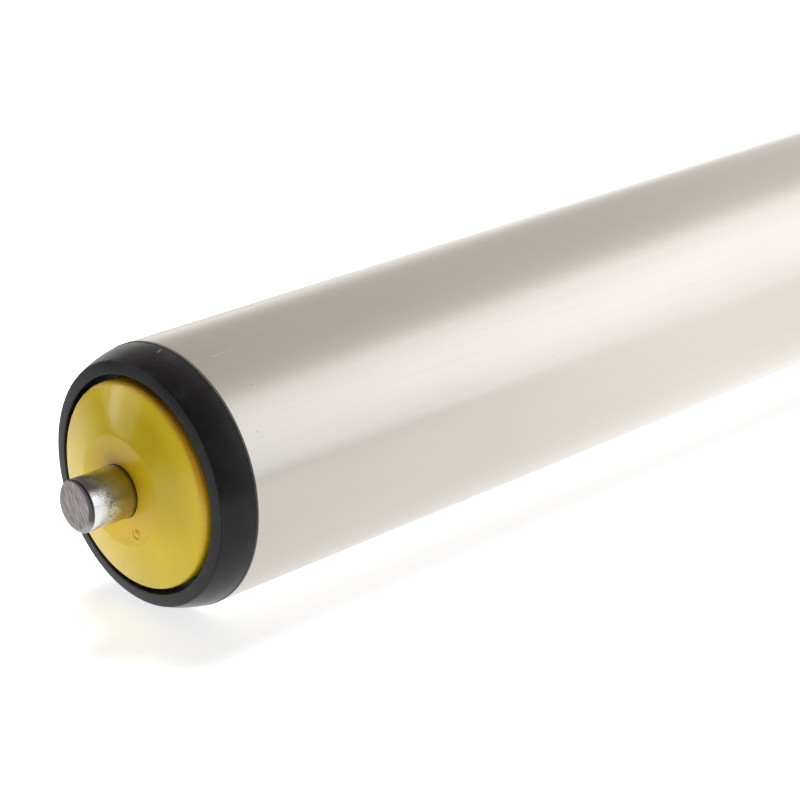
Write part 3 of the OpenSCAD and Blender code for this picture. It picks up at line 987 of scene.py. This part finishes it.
def make_world():
    """Even grey light. Reflections see a bright wall behind, a dimmer ceiling and, in front, a dark
    room with a window at the left.
    """
    grey, white = 0.12, 1.0
    wall_way = (-0.704, -0.437, 0.561)
    world = bpy.data.worlds.new("studio")
    bpy.context.scene.world = world
    world.use_nodes = True
    tree = world.node_tree
    tree.nodes.clear()
    way = add(tree, "ShaderNodeTexCoord").outputs["Generated"]
    axes = add(tree, "ShaderNodeSeparateXYZ", {0: way}).outputs
    over = vector_node(tree, "DOT_PRODUCT", way, wall_way)
    wall = ramp(tree, over, [
        (-0.85, 1.34), (-0.73, 1.45), (-0.62, 1.54), (-0.48, 1.60), (-0.32, 1.58), (-0.20, 1.50),
        (-0.08, 1.40), (0.05, 0.90), (0.12, 0.84), (0.25, 0.76), (0.45, 0.72),
    ])
    depth = ramp(tree, axes[1], [
        (0.0, 0.22), (0.24, 0.40), (0.60, 0.89), (0.68, 0.95), (0.75, 1.0), (0.95, 1.2),
    ])
    side = ramp(tree, axes[0], [(-0.84, 0.80), (-0.64, 0.0), (-0.5, 0.0)])
    low = ramp(tree, axes[2], [(0.0, 1.0), (0.42, 0.0), (0.5, 0.0)])
    window = ramp(tree, axes[0], [
        (-0.90, 0.0), (-0.85, 0.0), (-0.83, 2.2), (-0.77, 2.2),
        (-0.75, 0.9), (-0.62, 0.9), (-0.58, 0.0), (-0.4, 0.0),
    ])
    facing = ramp(tree, axes[1], [(-0.9, 0.0), (-0.82, 1.0), (-0.5, 1.0), (-0.4, 0.0)])
    room = math_node(tree, "MULTIPLY", window, facing)
    studio = math_node(tree, "MULTIPLY_ADD", wall, depth, room)
    mirrored = math_node(tree, "MULTIPLY_ADD", side, low, studio)
    warmth = ramp(tree, over, [(-0.12, 0.0), (0.06, 1.0)])
    tint = blended(tree, warmth, (0.975, 1.0, 1.045), (1.015, 1.0, 0.965))
    tinted = add(tree, "ShaderNodeVectorMath", {0: tint, "Scale": mirrored}, operation="SCALE").outputs[0]
    seen, reflected = ray_masks(tree)
    plain = math_node(tree, "MULTIPLY_ADD", seen, white - grey, grey)
    light = add(tree, "ShaderNodeBackground", {
        "Color": blended(tree, reflected, plain, tinted), "Strength": 1.0,
    })
    add(tree, "ShaderNodeOutputWorld", {"Surface": light.outputs[0]})


def softbox(name, place, target, size, power):
    """A wide soft light. It isn't seen itself, neither directly nor in reflections."""
    data = bpy.data.lights.new(name, "AREA")
    data.shape = "RECTANGLE"
    data.size, data.size_y = size
    data.energy = power
    lamp = bpy.data.objects.new(name, data)
    bpy.context.scene.collection.objects.link(lamp)
    lamp.location = place
    lamp.rotation_euler = (Vector(target) - Vector(place)).to_track_quat("-Z", "Y").to_euler()
    lamp.visible_camera = False
    lamp.visible_glossy = False


def make_lights():
    """A large box overhead, a weak one beside the front end and a small card on the floor below it."""
    card_x, card_y = -0.04, -0.235
    card_z = cad_box[0].z + 0.001
    softbox("top_box", (-0.35, 0.45, 1.1), (0, 0, 0), size=(0.8, 0.8), power=38)
    softbox("front_box", (-1.2, -1.0, 0.1), (0, -0.16, 0), size=(0.8, 0.5), power=5)
    softbox("floor_card", (card_x, card_y, card_z), (card_x, card_y, 1), size=(0.18, 0.18), power=0.095)


def make_camera():
    """Three-quarter view of the front end from a little above, through a long lens."""
    turn, rise = math.radians(45.14), math.radians(21.54)
    aside, over, away = 0.04237, 0.01346, 0.45983
    right = Vector((math.cos(turn), math.sin(turn), 0))
    back = Vector((math.sin(turn) * math.cos(rise), -math.cos(turn) * math.cos(rise), math.sin(rise)))
    up = back.cross(right)
    tube_end = Vector((0, tube_low.y, 0))
    data = bpy.data.cameras.new("camera")
    data.lens = 113.9
    data.sensor_width = 36
    data.clip_start = 0.02
    camera = bpy.data.objects.new("camera", data)
    bpy.context.scene.collection.objects.link(camera)
    camera.rotation_euler = Matrix((right, up, back)).transposed().to_euler()
    camera.location = tube_end + aside * right + over * up + away * back
    bpy.context.scene.camera = camera


def make_roller():
    """The pieces that stand for CAD nodes, and the finishes of the nodes that stay."""
    lathe = lathe_tree()
    make_tube(lathe, tube_zinc())
    make_axle(lathe, axle_zinc(), axle_sawn())
    make_housings(lathe, housing_black())
    make_discs(lathe, disc_yellow())
    make_spring(ground_steel("spring_wire_steel", (0.16, 0.16, 0.17), 0.3, 0.45, (900, 900, 900)))
    zinc_steel = ground_steel("washer_zinc", (0.58, 0.58, 0.57), 0.24, 0.38, (600, 600, 600))
    dress_frame({
        "race": ground_steel("race_ground_steel", (0.52, 0.52, 0.53), 0.14, 0.26, (240, 2600, 240)),
        "ball": ground_steel("ball_chrome_steel", (0.62, 0.62, 0.64), 0.04, 0.09, (300, 300, 300)),
        "cage": cage_nylon(),
        "washer": zinc_steel,
        "seat": zinc_steel,
        "ring": ground_steel("ring_phosphate_steel", (0.09, 0.085, 0.08), 0.4, 0.55, (800, 800, 800)),
    })


bpy.context.scene.view_settings.view_transform = "Standard"
make_camera()
make_world()
make_floor()
make_lights()
make_roller()
